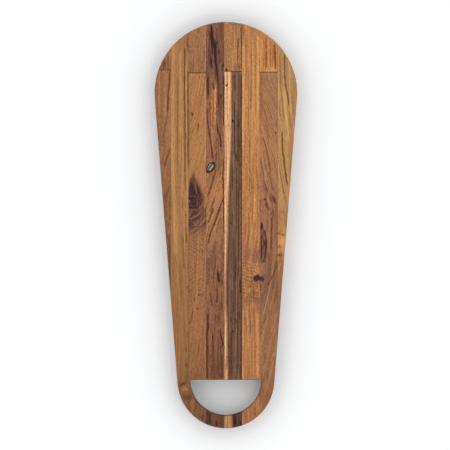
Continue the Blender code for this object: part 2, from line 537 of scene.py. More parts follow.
def sapwood(edge, pale, tan, blush, heart):
    """The pale sapwood along a stave's left side, up to an edge given as (u, v) points."""

    def paint(g, wood, colour):
        beyond = g.less(wood.rough_u, g.add(g.path(wood.v, edge), MIDDLE))
        streaks = g.noise((wood.grain, wood.v, wood.seed + 60), (1.7, 70, 1), detail=3)
        pale_wood = g.mix(pale, tan, g.ramp(streaks, -0.4, 0.4))
        colour = g.mix(colour, heart, g.times(g.ramp(beyond, 3.0, 0.8), 0.65))
        colour = g.mix(colour, blush, g.ramp(beyond, 1.1, -0.1))
        colour = g.mix(colour, pale_wood, g.ramp(beyond, -0.2, -3.0))
        return g.mix(colour, blush, g.times(g.ramp(wood.rough_u, 1.6, 0.2), 0.6))

    return paint


def ripples(g, wood, colour, slope, pitch, zone):
    """Curly figure: light and dark waves across the stave."""
    bend = g.noise((wood.u, wood.v, wood.seed + 38), (6, 9, 1))
    crossing = g.add(wood.v, g.times(wood.u, slope), g.times(bend, 2.4))
    swell = g.calc("SINE", g.times(crossing, 2 * math.pi / pitch))
    wave = g.add(swell, g.noise((crossing, wood.u, wood.seed + 35), (0.4 * pitch, 9, 1)))
    patchy = g.ramp(g.noise((wood.u, wood.v, wood.seed + 36), (5, 7, 1)), -0.6, 0.4, 0.45, 1.0)
    return g.mix(colour, g.scaled(colour, g.ramp(wave, -1.0, 1.0, 1.30, 0.64)), g.times(zone, patchy))


def stave_6_figure(g, wood, colour):
    """Curly figure round the dark blotch at the right side."""
    zone = g.times(g.ramp(wood.v, 318, 340), g.ramp(wood.v, 400, 384), 0.75)
    return ripples(g, wood, colour, -0.25, 4.6, zone)


def stave_3_figure(g, wood, colour):
    """The large knot at the left side, the arcs that flow round it, and the curly ripples below."""
    u, v, seed = wood.u, wood.v, wood.seed
    wobble = g.noise((u, v, seed + 31), (5, 8, 1))
    ruffle = g.noise((u, v, seed + 32), (1.6, 3.2, 1))

    # Arcs below the knot, level at the left side and rising to the right.
    rise = g.add(g.times(u, 0.15), g.times(u, u, 0.03))
    arcs = g.add(v, rise, g.times(wobble, 2.2), g.times(ruffle, 0.9))
    arc_lines = g.noise((arcs, u, seed + 33), (1.75, 18, 1))
    broad_arcs = g.noise((arcs, u, seed + 34), (3.2, 20, 1))
    dense = g.add(g.times(g.ramp(u, 20, 4), g.ramp(v, 268, 284), 0.15), 0.12)
    arc_tone = g.ramp(g.add(arc_lines, g.times(broad_arcs, 0.25), dense), -0.4, 0.4)
    low_edge = g.less(g.add(wood.rough_v, g.times(broad_arcs, 4.0)), g.times(u, -0.1))
    high_edge = g.add(wood.rough_v, g.times(broad_arcs, 5.0), g.times(u, -0.25))
    arc_zone = g.times(g.ramp(high_edge, 250, 262), g.ramp(low_edge, 306, 284))
    colour = g.mix(colour, g.mix(0x9A6C50, 0x4A302F, arc_tone), g.times(arc_zone, 0.92))

    # Ripples: broad ones that fall to the right, then finer ones that rise.
    ripple_zone = g.times(g.ramp(v, 292, 305), g.ramp(v, 400, 356))
    upper = g.times(ripple_zone, g.ramp(v, 345, 325), 0.6)
    lower = g.times(ripple_zone, g.ramp(v, 325, 345), 0.9)
    colour = ripples(g, wood, colour, -0.6, 5.2, upper)
    colour = ripples(g, wood, colour, 0.6, 3.9, lower)

    # How far a place is from the knot's heart, as a share of the knot: pointed above, rounded below.
    heart_u, heart_v, flame_v = 6.0, 250.0, 208.0
    dv = g.less(wood.rough_v, heart_v)
    below = g.ramp(dv, -3.0, 3.0)
    offset = g.less(wood.rough_u, heart_u)
    across = g.over(g.calc("ABSOLUTE", offset), g.ramp(offset, -1.0, 1.0, 9.5, 14.0))
    up = g.over(g.calc("MAXIMUM", g.times(dv, -1.0), 0.0), 37.0)
    down = g.over(g.calc("MAXIMUM", dv, 0.0), 13.0)
    pointed = g.add(g.calc("POWER", across, 0.92), g.calc("POWER", up, 1.5))
    rounded = g.calc("SQRT", g.add(g.times(across, across), g.times(down, down)))
    away = g.add(g.times(pointed, g.less(1.0, below)), g.times(rounded, below))

    # Lines that fan out into the flame above the heart, and rings round it.
    spread = g.over(offset, g.calc("MAXIMUM", g.less(v, flame_v), 4.0))
    flame = g.noise((spread, v, seed + 37), (0.055, 22, 1), detail=2)
    ring_u, ring_v = g.times(offset, 1.15), g.times(dv, 0.8)
    ring_away = g.calc("SQRT", g.add(g.times(ring_u, ring_u), g.times(ring_v, ring_v)))
    swirl = g.times(g.calc("ARCTAN2", ring_v, ring_u), 0.8)
    rings = g.noise((g.add(ring_away, g.times(wobble, 1.5), swirl), g.times(ring_v, 0.15), 0.0), (1.15, 1, 1))
    rings = g.add(rings, g.times(ruffle, 0.25))
    flame_share = g.ramp(dv, -6.0, -14.0)
    lines = g.add(g.times(flame, flame_share), g.times(rings, g.less(1.0, flame_share)))

    # Their colours, and a soft brown margin.
    core = g.mix(0x7C584C, 0x362429, g.ramp(lines, -0.45, 0.1))
    core = g.mix(core, 0x2C1E26, g.times(g.ramp(ring_away, 6.5, 2.5), 0.45))
    fringe = g.add(away, g.times(wobble, 0.10), g.times(flame, 0.16))
    colour = g.mix(colour, 0x744E3A, g.times(g.ramp(fringe, 1.42, 0.98), 0.8))
    return g.mix(colour, core, g.times(g.ramp(fringe, 1.08, 0.86), 0.94))


LOOKS = {
    "stave_1_tip": Look(
        zones=[(38, 0xA47250), (68, 0x8C5F43)],
        dark=0x704634,
        light=0xA87654,
        stripe=3,
        marks=[
            line(2.2, 0x704634, 0.7, 15, 50, 16, 60, 16, 67), line(0.9, 0x664030, 0.7, 21, 44, 21.5, 58),
            line(0.8, 0xAA7656, 0.6, 18.5, 44, 19, 56),
        ],
    ),
    "stave_1_body": Look(
        zones=[
            (68, 0xA0724E), (130, 0xA2754E), (180, 0x986B49), (250, 0x8A5F42), (305, 0x8E6246),
            (375, 0x845A42),
        ],
        dark=0x7E543C,
        light=0xAA7A52,
        flow=[(0, 0), (130, 0), (260, -14), (375, -8)],
        contrast=0.6, stripe=3, mottle=1.3, seam=0.2,
        marks=[
            line(1.1, UMBER, 0.85, 24.5, 64, 23, 85, 21.5, 100, 21, 118, 20, 132),
            line(1.3, 0x764E38, 0.7, 20, 128, 17.5, 145, 15.5, 158, 15, 178),
            line(1.4, 0x704C3C, 0.75, 25, 174, 22.5, 184, 18.5, 194, 16.5, 206),
            line(1.4, 0x704E3C, 0.75, 24.5, 228, 22, 236, 18.5, 244, 16.5, 254),
            line(0.8, 0x7C523A, 0.5, 6, 70, 5.5, 100, 7, 135, 9, 170), spot(23.5, 255, 1.3, 4, 0x704834, 0.7),
            spot(23.5, 275, 1.2, 3.5, 0x6C4432, 0.7), spot(21.5, 284, 1.5, 4, 0x704834, 0.6),
            line(1.5, 0x684232, 0.7, 22, 295, 24, 330, 25, 360),
        ],
    ),
    "stave_2": Look(
        zones=[
            (16, 0x9E724A), (60, 0xA9794F), (200, 0xAA7A51), (310, 0xA2734A), (390, 0x986C47),
            (490, 0x906542), (515, 0x7C553A), (560, 0x7E573C),
        ],
        dark=0x8E6442,
        light=0xBA8A58,
        contrast=0.42, stripe=3.2, mottle=0.7,
        marks=[
            line(2.6, 0xBE8D5A, 0.6, 2.5, 30, 2.5, 120, 3.5, 200, 5.5, 260, 6.5, 330),
            line(1.6, 0xBA8858, 0.5, 13.5, 40, 14, 90, 13.5, 200),
            line(0.9, 0x704A2E, 0.95, 20, 34, 19.5, 90, 20, 150, 20, 215),
            line(0.9, 0x765034, 0.85, 24, 66, 24, 120, 24.5, 205),
            line(0.8, 0xB4865C, 0.6, 22, 60, 22, 130, 22, 210),
            line(0.8, 0x865D3C, 0.75, 9.5, 76, 9.5, 130, 9, 165, 10, 215),
            line(0.7, 0x8C623A, 0.6, 14.5, 155, 15, 175, 16, 200),
            line(0.6, 0x966A44, 0.5, 6.5, 210, 9, 240, 10, 270), line(0.9, 0x7A5236, 0.8, 20.5, 210, 21, 240),
            line(0.7, 0x825838, 0.7, 20.5, 250, 21.5, 262), line(0.8, 0x885E3C, 0.7, 16, 245, 17, 265),
            spot(21, 271, 1, 1.8, 0x764C32, 0.8), line(0.9, 0x785034, 0.8, 21, 284, 22, 300, 22, 314),
            line(0.9, 0x7E5838, 0.7, 17.5, 298, 18, 330, 18.5, 348),
            line(0.8, 0xBE8C5A, 0.5, 24, 215, 24, 300), line(0.9, 0x845C3C, 0.6, 13, 330, 14, 360, 15, 395),
            line(1.2, 0xAC7C4F, 0.5, 9.5, 345, 11, 375, 12.5, 405),
            line(1.1, 0x9E7148, 0.5, 14, 400, 15.5, 440, 17, 480), spot(24, 30, 1.8, 10, 0x804E3A, 0.75),
            spot(24, 372, 1.2, 2.5, UMBER, 0.5), line(0.8, 0x704A2E, 0.7, 24, 430, 24, 446),
            line(0.8, 0x805838, 0.6, 19, 415, 20, 440, 21.5, 462), spot(21.5, 459, 1, 4, 0x6C462C, 0.7),
            spot(22.5, 481, 1, 2.8, 0x68422A, 0.8), spot(23.5, 492, 1.2, 9, 0x705436, 0.5),
            spot(16.5, 508.5, 5, 1.8, 0x5C3A28, 0.85, lean=-28),
            spot(20, 515, 4.5, 2.2, 0xA8754B, 0.7, lean=-15), spot(21, 526, 3.4, 4, 0x644230, 0.7, lean=25),
            spot(23, 503, 1.6, 6, 0x705036, 0.6),
        ],
    ),
    "stave_3_tip": Look(
        zones=[(5, 0xA0714E), (40, 0x9D704E), (72, 0x966A4A)],
        dark=0x8A6042,
        light=0xAC7A54,
        contrast=0.5, stripe=2.6, mottle=1.7,
        marks=[
            line(0.9, 0x785038, 0.6, 21, 30, 21.5, 50, 19, 60, 18.5, 71),
            line(0.8, 0xB07C56, 0.4, 1.5, 30, 1, 60), line(0.9, 0xB07C56, 0.6, 24, 10, 24, 70),
        ],
    ),
    "stave_3_body": Look(
        zones=[
            (72, 0xAC7950), (145, 0xAC784F), (180, 0xB27E52), (250, 0xA8764E), (300, 0x986847),
            (345, 0x9A6B49), (390, 0x9A6A47), (440, 0x966945), (490, 0x906241), (515, 0x80583C),
            (545, 0x734E38),
        ],
        dark=0x8C6040,
        light=0xB68256,
        flow=[(0, 0), (72, 0), (130, -12), (200, -32), (260, -36), (400, -44), (570, -74)],
        contrast=0.6, stripe=2.8, mottle=1.25,
        marks=[
            spot(5.3, 129.2, 2.1, 2.1, 0x341E18, 1, soft=0.35), spot(4.5, 131, 2.4, 4, 0x926442, 0.5),
            spot(11, 135, 2, 4, 0xA87042, 0.35, lean=20), spot(3.5, 137, 1, 4, 0x8C5E3E, 0.6, lean=15),
            spot(17, 130, 1.4, 9, 0xBA7C54, 0.6, lean=10),
            line(1, 0x764E36, 0.85, 14.5, 139, 13.5, 148, 11.5, 157),
            spot(2.5, 154, 1.8, 6, 0x966044, 0.5, lean=20),
            line(1.2, 0xBC8858, 0.6, 24, 76, 24, 140, 24, 200), line(1.4, 0x8E6644, 0.6, 0.5, 130, 0.5, 205),
            line(1.6, 0x78543E, 0.6, 6, 212, 6.5, 232), spot(24.5, 205, 2.2, 6, 0xA6603E, 0.6),
            spot(18, 266, 2.5, 6, 0x866042, 0.5, lean=35), spot(22, 270, 2.5, 8, 0x7E5648, 0.5),
            line(3, 0x764E36, 0.45, 18, 318, 19.5, 324), spot(15.5, 376, 1.5, 1.5, UMBER, 0.7, lean=30),
            spot(15.5, 382, 1.3, 1.8, 0x603C28, 0.8, lean=30), spot(20, 382, 1.2, 1.6, 0x643E2A, 0.8),
            spot(9, 389, 1.8, 1.2, 0x68422C, 0.7, lean=30), spot(1, 377, 1.8, 2, UMBER, 0.55),
            spot(12.5, 402, 1.2, 1.8, 0x58362A, 0.85, lean=25), spot(21.5, 398, 1.2, 1.4, 0x70462E, 0.7),
            line(1, 0x6C4630, 0.75, 7, 402, 5, 411, 3, 419, 0.5, 428),
            line(1.6, 0x967056, 0.5, 1, 404, 1, 416), spot(12, 425, 9, 20, 0xA2704C, 0.5),
            line(0.8, 0x805638, 0.6, 21, 424, 20, 436, 18.5, 450),
            line(0.8, 0x7A5438, 0.6, 16, 448, 14.5, 460, 14, 470), spot(20, 488, 6, 11, 0x905E42, 0.6),
            spot(8, 497, 9, 5, 0x86563A, 0.5), spot(2.5, 526, 2.6, 4, 0x684432, 0.7),
            spot(6, 534, 2.4, 5, 0x9C6C4A, 0.65, lean=25), spot(11, 532, 1.6, 5, 0x664432, 0.65, lean=30),
            spot(9, 543, 1.6, 4, 0x684634, 0.6, lean=25), spot(16, 541, 1.6, 4, 0x906446, 0.6, lean=30),
            spot(20, 554, 3, 5, 0x603F2E, 0.65), spot(14, 538, 3.2, 5, 0x7A5042, 0.5, lean=30),
            spot(11, 546, 0.9, 3.4, 0x9E6C52, 0.6, lean=20), spot(18, 548, 2.5, 5, 0x70543C, 0.5),
            spot(5, 541, 2.2, 3, 0x946242, 0.5),
        ],
    ),
    "stave_4_body": Look(
        zones=[
            (2, 0x7C5948), (60, 0x755446), (90, 0x755344), (130, 0xA47251), (160, 0x9A694A), (200, 0x98684A),
            (235, 0xB07A51), (290, 0xAE7A51), (320, 0x94684B), (380, 0x906346), (430, 0x885C43),
            (460, 0x7C543E), (502, 0x724C3A),
        ],
        dark=0x664436,
        light=0x9E6C4C,
        flow=[(0, 0), (60, 6), (120, 8), (200, 12), (225, 8), (300, -20), (345, -30), (570, -34)],
        contrast=0.55, stripe=3.2, mottle=2,
        marks=[
            line(6.5, 0x5C3F38, 0.5, 9, 4, 10, 30, 12, 60, soft=0.9),
            line(1, INK, 0.85, 6.5, 10, 7.5, 30, 9, 48), line(1, INK, 0.85, 12.5, 18, 13, 34, 15, 50),
            line(0.9, 0x8E6348, 0.75, 10, 26, 10.5, 42, 11, 56), spot(11.5, 21, 1, 2.2, 0x885E4A, 0.6),
            spot(13.2, 44, 0.9, 2, 0x845C4A, 0.55), spot(15.2, 70, 0.9, 2.2, 0x805848, 0.5),
            line(0.9, INK, 0.8, 12, 60, 13, 74, 14, 88), line(0.9, 0x462E2A, 0.8, 4.5, 36, 5, 52, 5, 66),
            line(1.2, 0x926448, 0.6, 19, 52, 19.5, 74, 20.5, 92), line(2.2, 0x8E6044, 0.6, 2.5, 3, 2.5, 60),
            line(0.8, 0x54382E, 0.6, 4, 12, 4, 30, 2.5, 60),
            line(1.8, INK, 0.9, 7, 2, 8.5, 25, 11.5, 38, 12.5, 52, 14, 62, 16, 80, 17, 100, 17.5, 118),
            line(1.2, 0x865E4A, 0.6, 12.5, 2, 12, 14, 12.5, 30), line(1.1, INK, 0.8, 6, 48, 7, 58, 8, 70),
            line(1.3, 0x785244, 0.5, 10, 55, 10.5, 70, 8, 84),
            line(2.2, 0x7E543E, 0.6, 21, 3, 21, 40, 19.5, 60), spot(18, 42, 1.3, 3, 0x50322C, 0.6),
            spot(24, 61, 1.3, 3, 0x422A26, 0.8), line(1, 0x462C2A, 0.85, 25, 70, 24.5, 110, 24.5, 150),
            spot(10, 122, 5.2, 40, 0xA8724A, 0.85, soft=0.75),
            line(1.2, 0xA06A48, 0.8, 7.5, 74, 8, 92, 9, 112),
            line(2, 0xC28654, 0.85, 12.5, 90, 12, 108, 12, 128, 12.5, 148),
            line(1.2, 0xBC8052, 0.7, 8, 104, 7.5, 124, 8.5, 142),
            line(0.7, 0x84543A, 0.7, 10, 96, 9.8, 112, 10, 132),
            line(0.8, 0x7C4E3A, 0.7, 5, 108, 5, 128, 6.5, 150),
            line(0.8, 0x784C3A, 0.7, 14.8, 112, 14.5, 132, 15.5, 146),
            line(1.3, 0x5C3A34, 0.75, 9, 82, 10, 92, 12, 99), line(2, 0x543A32, 0.8, 2, 74, 2, 90, 3, 106),
            line(1.5, 0x885A40, 0.5, 6, 84, 6, 104),
            line(1.3, 0x5C3C36, 0.85, 1.5, 118, 1.5, 136, 3, 148, 5.5, 164, 7.5, 180, 9.5, 196),
            spot(19, 116, 3.4, 42, 0x6A4940, 0.8, soft=0.9), line(1.1, 0x4C3232, 0.7, 17.5, 100, 17, 120),
            line(1.2, 0x4C3230, 0.7, 20.5, 100, 21.5, 108),
            line(1, 0x50322C, 0.85, 15, 140, 16, 150, 19, 160, 20.5, 172, 20, 180),
            line(1, 0x825036, 0.6, 8, 125, 9, 140, 9, 156), spot(3, 185, 3.5, 14, 0x98644C, 0.5),
            line(1, 0x70463A, 0.6, 14, 183, 13, 192), spot(17.5, 200, 1.6, 9, 0x705040, 0.6),
            spot(17, 208, 1.2, 4, 0x685854, 0.5),
            line(0.8, 0x54342C, 0.85, 24, 190, 23.5, 215, 24, 245, 24.3, 300),
            line(1.2, 0x704838, 0.85, 15.5, 203, 12.5, 212, 9, 222, 6, 233, 3, 241, 0, 249),
            line(0.8, 0x7A503A, 0.6, 5, 222, 3, 234, 0.5, 241), spot(5, 260, 5, 26, 0xAE7A4E, 0.6, lean=12),
            line(0.9, 0x704A36, 0.8, 12.5, 243, 10, 252, 7, 262, 4.5, 270),
            line(1.1, 0x6C422E, 0.8, 11, 258, 7, 270, 3, 280, 0.5, 286),
            line(1.2, 0x623C2E, 0.9, 24.5, 244, 21.5, 254, 17, 266, 12, 281, 8, 291, 4.5, 301, 2, 315),
            line(1.1, 0x805642, 0.6, 22, 262, 17, 280, 13, 300),
            spot(12.5, 249, 1.6, 5, 0xAC7056, 0.5, lean=20), spot(20, 290, 4.5, 14, 0x906248, 0.5),
            line(2.2, 0x765240, 0.5, 12.5, 305, 11, 318, 8, 332, 4.5, 346),
            line(1, 0x644034, 0.6, 12, 320, 12.5, 336, 12, 350),
            line(2.4, 0x9A6A4A, 0.7, 19, 302, 17.5, 325, 17, 345),
            line(1, 0x644234, 0.6, 23.5, 318, 23.5, 336), line(2.4, 0x704E3D, 0.55, 2, 328, 2.5, 350, 2, 372),
            line(1.4, 0x422C22, 0.9, 16.5, 346, 17, 358, 18.5, 370),
            line(0.9, 0x5C3A2E, 0.7, 22.5, 358, 22, 372),
            line(1, 0x54362C, 0.8, 14, 370, 15.5, 380, 14.5, 392, 13, 398),
            line(1, 0x5C3C32, 0.75, 5.5, 376, 6.5, 388, 9.5, 402),
            line(2.2, 0x966644, 0.6, 20, 368, 20.5, 385, 19, 398), spot(3, 396, 3, 8, 0x7A604A, 0.5),
            line(1.4, 0x4C312B, 0.8, 4.5, 406, 2, 416, 2.5, 428, 0.8, 440, 1.5, 460, 1, 478, 1.5, 502),
            line(1.1, 0x623A30, 0.6, 14.5, 406, 13, 417, 15, 424), line(1.3, 0x92684A, 0.5, 6, 410, 7, 426),
            line(1, 0x9E6C4C, 0.6, 7.5, 436, 6.5, 450), line(0.9, 0x52322E, 0.8, 9, 434, 9.5, 452, 10.5, 466),
            line(1, 0x482E30, 0.85, 19.5, 428, 20.5, 440, 23, 452, 19.5, 460),
            spot(8, 488, 1.4, 2.2, 0x4E3028, 0.6), spot(17, 432, 3, 8, 0x8C624A, 0.4),
            spot(10, 325, 5, 14, 0x805A46, 0.4, lean=15, soft=0.8),
            line(1, 0x644032, 0.7, 22, 376, 21.5, 392, 22.5, 410),
            line(1, 0x6C4838, 0.7, 11, 340, 10, 356, 10.5, 372), line(1, 0x603C30, 0.7, 17, 408, 16.5, 424),
            line(1, 0x8C6046, 0.6, 13, 440, 13.5, 460, 12.5, 480),
            line(0.9, 0x5A3A32, 0.7, 16.5, 460, 16, 480, 17, 500),
            line(1.1, 0x56362E, 0.7, 22.5, 462, 22, 486, 22.5, 502),
            line(1, 0x845A44, 0.6, 5.5, 452, 5, 476, 6, 500),
        ],
    ),
    "stave_4_grip": Look(
        zones=[(540, 0x764E38), (570, 0x6C4632)],
        dark=0x54362C,
        light=0x84583C,
        stripe=2.6,
        marks=[
            line(2.6, 0x50362E, 0.9, 1.5, 540, 1.5, 570), line(0.9, 0x3A2622, 0.9, 4.7, 546, 5, 568),
            line(1, 0x34221E, 0.9, 14, 556, 14.5, 570), line(4.5, 0x644032, 0.7, 20, 545, 20, 570),
        ],
    ),
    "stave_5_tip": Look(
        zones=[(0, 0xA87850), (40, 0xA87850), (69, 0xA67650)],
        dark=0x845A3E,
        light=0xB48256,
        contrast=0.55, stripe=2.4, mottle=1.8,
        marks=[
            line(2, 0xB28254, 0.7, 15, 14, 15.5, 40, 15, 69),
            line(0.8, 0x764E36, 0.8, 19.5, 22, 19, 45, 18.5, 62), line(0.8, 0x704832, 0.6, 21, 20, 20, 34),
            line(0.9, 0x6A4430, 0.8, 24, 2, 24, 30, 24.5, 50, 24, 69),
            line(0.8, 0xB28058, 0.5, 22.5, 20, 22, 40), spot(19, 64, 5, 6, 0x805842, 0.6),
            line(1.2, 0xBA885C, 0.5, 11, 30, 11.5, 50, 12, 66),
            spot(3, 67.5, 1.5, 1.6, 0x3C241A, 0.95, soft=0.35), spot(16, 3, 8, 2.5, 0x8C6242, 0.5),
        ],
    ),
    "stave_5_body": Look(
        zones=[
            (69, 0x7C5E48), (160, 0x7A5C46), (300, 0x765844), (380, 0x6C4F3E), (440, 0x6A4C3C),
            (502, 0x644638),
        ],
        dark=0x583E34,
        light=0x8C6D53,
        contrast=0.8, stripe=1.9, mottle=1.5, slant=0.15,
        marks=[
            line(0.9, 0x8C6C52, 0.6, 17, 72, 17, 100, 17, 130),
            spot(3.9, 87.8, 1.7, 1.7, 0x3E281A, 1, soft=0.35), spot(2.6, 85.6, 0.9, 1.1, 0xDEB060, 0.6),
            line(0.8, 0x46302A, 0.75, 14, 110, 14.5, 150, 14, 190),
            line(0.8, 0x48322C, 0.7, 19.5, 120, 19, 170, 19.5, 200),
            line(0.8, 0x4A342C, 0.6, 17.5, 200, 17, 250, 17, 300),
            line(0.8, 0x46302C, 0.75, 12, 200, 11.5, 240),
            line(0.8, 0x46302A, 0.7, 20, 230, 20.5, 300, 20, 360),
            line(0.8, 0x48322C, 0.5, 13, 300, 13.5, 360, 13, 410),
            line(0.9, 0x80624C, 0.6, 9, 330, 8.5, 380, 9, 410),
            line(0.9, 0x48302B, 0.5, 19, 380, 18.5, 430, 19, 490),
            line(0.8, 0x48302C, 0.7, 10.5, 430, 10, 470, 10.5, 500),
            line(1, 0x7C5C48, 0.6, 15.5, 430, 15.5, 500), line(0.9, 0x4A342E, 0.7, 15, 70, 15.5, 100),
            line(2, 0x5C4236, 0.55, 22.5, 70, 23, 180, 22.5, 240),
            line(0.9, 0x50362C, 0.6, 24.5, 70, 24.5, 300, 24.5, 502), spot(20.5, 143, 1.6, 4, 0x422C24, 0.6),
            spot(17, 190, 1.4, 5, 0x402822, 0.7), line(1.1, 0x543834, 0.6, 20, 155, 21, 180),
            line(1, 0x785E42, 0.5, 16, 155, 17, 175), line(0.9, 0x7C604C, 0.5, 14, 205, 14, 245),
            line(0.9, 0x483230, 0.6, 11.5, 262, 11, 290), line(1, 0x7A6248, 0.5, 15, 260, 15, 300),
            line(1, 0x422C26, 0.7, 17, 326, 16, 345, 16, 368), line(1.3, 0x3E2A22, 0.7, 22.5, 358, 23, 385),
            line(1.2, 0x80684C, 0.5, 11, 345, 11, 380), spot(13, 434, 1.3, 1.5, 0x32201E, 0.9, soft=0.35),
            spot(21, 412, 1.2, 7, 0x3E2A26, 0.6), spot(9, 417, 1, 3, 0x402A24, 0.6),
            spot(16, 419, 1, 2.5, 0x402A24, 0.6), spot(12, 140, 1.2, 2.6, 0x221612, 1, soft=0.35),
            spot(22, 337, 1.4, 1.6, 0x8C6E4A, 0.5),
        ],
    ),
    "stave_5_grip": Look(
        zones=[(545, 0x583E34), (570, 0x543A30)],
        dark=0x402C2C,
        light=0x6C4E3E,
        stripe=2.4, slant=0.15,
        marks=[
            line(2, 0x38262A, 0.9, 14.5, 548, 15.5, 570), spot(23, 563, 1.6, 3, 0x34201C, 0.7),
        ],
    ),
    "stave_6_body": Look(
        zones=[
            (3, 0xB17C50), (80, 0xC28A58), (150, 0xBC8454), (260, 0xBA8152), (296, 0xB27B50), (325, 0x926145),
            (343, 0xA06D4B), (362, 0x9E6A49), (386, 0x926246), (405, 0xA26F4C), (460, 0xB27C50),
            (502, 0xAC774E),
        ],
        dark=0xA06A46,
        light=0xCE965E,
        flow=[(0, 0), (280, 0), (330, -5), (390, -2), (570, -2)],
        contrast=0.7, stripe=1.9, mottle=1.5,
        marks=[
            line(1.3, 0xD29A62, 0.7, 2, 30, 2, 100, 1.5, 180),
            line(0.7, 0x9C6844, 0.7, 9, 60, 9.5, 100, 9, 150),
            line(0.7, 0x966240, 0.65, 11, 160, 11, 210, 11.5, 270),
            line(0.7, 0x9A6442, 0.65, 15.5, 180, 15.5, 230, 15, 290),
            line(0.7, 0x9C6846, 0.6, 4.5, 150, 4, 200, 4.5, 262),
            line(0.7, 0x986240, 0.65, 22.5, 210, 22, 260, 22.5, 300),
            line(0.8, 0x946042, 0.65, 9.5, 255, 9, 290, 8, 318),
            line(0.7, 0x966442, 0.6, 2.5, 440, 2.5, 480, 3, 502), line(0.7, 0x9A6642, 0.55, 10, 450, 10, 502),
            line(1.3, 0xA66E4A, 0.7, 5.5, 20, 6, 60, 5, 100),
            line(0.9, 0x94623E, 0.75, 12.5, 35, 13, 60, 12.5, 125),
            line(0.9, 0xA06A46, 0.6, 19, 15, 19.5, 60, 18.5, 100),
            line(0.9, 0x88583A, 0.7, 14.5, 8, 14.5, 18), line(1.3, 0xCC945C, 0.6, 16, 60, 16, 130),
            line(1.5, 0xD49A5C, 0.7, 22.5, 16, 22.5, 80, 22, 130),
            line(0.8, 0xD0985C, 0.6, 18.5, 125, 18.5, 165), spot(1.5, 10, 2.2, 12, 0x92624A, 0.7),
            spot(5, 7, 1.6, 2.5, 0xD29658, 0.7), spot(5, 130, 1.2, 3, 0x946442, 0.5),
            spot(21.5, 168, 1.2, 3, 0x966242, 0.6), spot(20, 185, 1.2, 3, 0x966242, 0.6),
            spot(20.5, 210, 1.6, 7, 0x9E6844, 0.6), line(0.9, 0x986640, 0.6, 7, 200, 7, 235),
            line(0.8, 0x986642, 0.5, 13, 205, 14, 240, 13.5, 270), spot(8, 247, 1.1, 4, 0x926240, 0.6),
            line(1.3, 0xD49A62, 0.6, 17.5, 240, 17.5, 285), line(1, 0x966240, 0.6, 19, 278, 18.5, 290),
            line(1, 0x925E3E, 0.7, 5.5, 280, 4.5, 292, 3.5, 302), line(1.4, 0xB2785A, 0.6, 1, 296, 1, 340),
            spot(21.5, 308, 1.3, 3, 0x986240, 0.6), line(1.2, 0xB0744E, 0.5, 4.5, 300, 4, 330),
            spot(8, 326, 4.5, 8.5, 0x92624A, 0.75, soft=0.7),
            spot(20.5, 327, 4.6, 9, 0x94634A, 0.75, lean=10, soft=0.7),
            line(1, 0x966240, 0.6, 17, 322, 15, 336), line(1.5, 0xC48A58, 0.45, 14, 300, 13, 325, 12, 345),
            spot(22, 349, 3.5, 5.5, 0xC48A56, 0.5), spot(21.6, 359.3, 5.2, 4.8, 0x4A2D30, 1, soft=0.25),
            line(0.9, 0x3E2824, 0.85, 17.2, 356, 17.4, 367), spot(21, 366, 4.5, 2, 0x965E3E, 0.6),
            spot(13, 364, 1.6, 1.4, 0x784A32, 0.7), spot(12, 370.5, 1.1, 1.8, 0x6E422E, 0.75),
            spot(6, 374, 2.5, 8, 0xBE824E, 0.5), spot(10.5, 376, 1.2, 3, 0xCC9468, 0.6, lean=20),
            spot(21, 376, 3.2, 1.4, 0xC88C5A, 0.5), spot(16, 379, 2.2, 3.5, 0x86583C, 0.6),
            spot(5, 384, 1.4, 2, 0xC48C6C, 0.5), spot(21, 384.5, 2.2, 1.6, 0xBE8460, 0.5),
            spot(20.5, 389, 4, 4, 0x8C5E44, 0.6), spot(8, 390, 5, 6, 0x96644A, 0.6),
            spot(15.5, 396, 2, 5, 0xC48A5C, 0.5),
            line(1, 0x84523C, 0.7, 9.5, 399, 11, 410, 12, 425, 12.2, 442),
            line(0.9, 0xBA805C, 0.5, 14.5, 402, 14, 425),
            line(0.8, 0x905C3C, 0.55, 16, 404, 17.5, 420, 17, 450),
            line(0.9, 0x8C5A38, 0.7, 3.5, 408, 4.5, 420, 6.3, 430, 6.5, 438),
            line(1.2, 0xC88E5C, 0.5, 8, 398, 8.5, 440, 9, 460),
            line(1.8, 0xC8905C, 0.6, 22, 405, 21.5, 450, 22.5, 502),
            line(0.8, 0x96643C, 0.6, 13.5, 445, 13.5, 475, 13, 502),
            line(0.8, 0x966040, 0.7, 18.5, 445, 18.5, 480, 18.5, 502),
            line(1.2, 0xC68E62, 0.6, 1.5, 400, 1.5, 450, 1, 502),
        ],
    ),
    "stave_6_grip": Look(
        zones=[(525, 0xA26E4A), (570, 0x9C6844)],
        dark=0x92603C,
        light=0xBC8656,
        stripe=2.6,
        marks=[
            line(1.2, 0xB47E5A, 0.6, 1, 545, 1, 566), spot(17.7, 543, 0.9, 2.2, 0x78422E, 0.8),
            spot(17.5, 549, 0.9, 2, 0x76402C, 0.8), line(0.9, 0xBA865C, 0.6, 23.5, 525, 23.5, 550),
            spot(20.5, 538, 1.5, 8, 0xB07048, 0.5), spot(3.5, 553, 1.2, 5, 0x905A38, 0.6),
        ],
    ),
    "stave_7_tip": Look(
        zones=[(12, 0xBE844E), (40, 0xC48A55), (70, 0xCE945D)],
        dark=0xA46A3E,
        light=0xCC9458,
        contrast=0.65, stripe=1.8, mottle=1,
        marks=[
            line(1, 0x8A4E30, 0.8, 8.5, 18, 9, 40, 9, 70), spot(9, 36, 1.2, 2.5, 0x88502C, 0.7),
            line(0.9, 0x925C36, 0.7, 14.8, 32, 15, 50, 15, 66),
            line(1.4, 0x7C442C, 0.85, 20.5, 28, 21, 40, 21.5, 55, 22.5, 70),
            line(0.9, 0xBE8656, 0.6, 24, 36, 24, 70), line(1.4, 0xCA9254, 0.5, 12, 30, 12, 70),
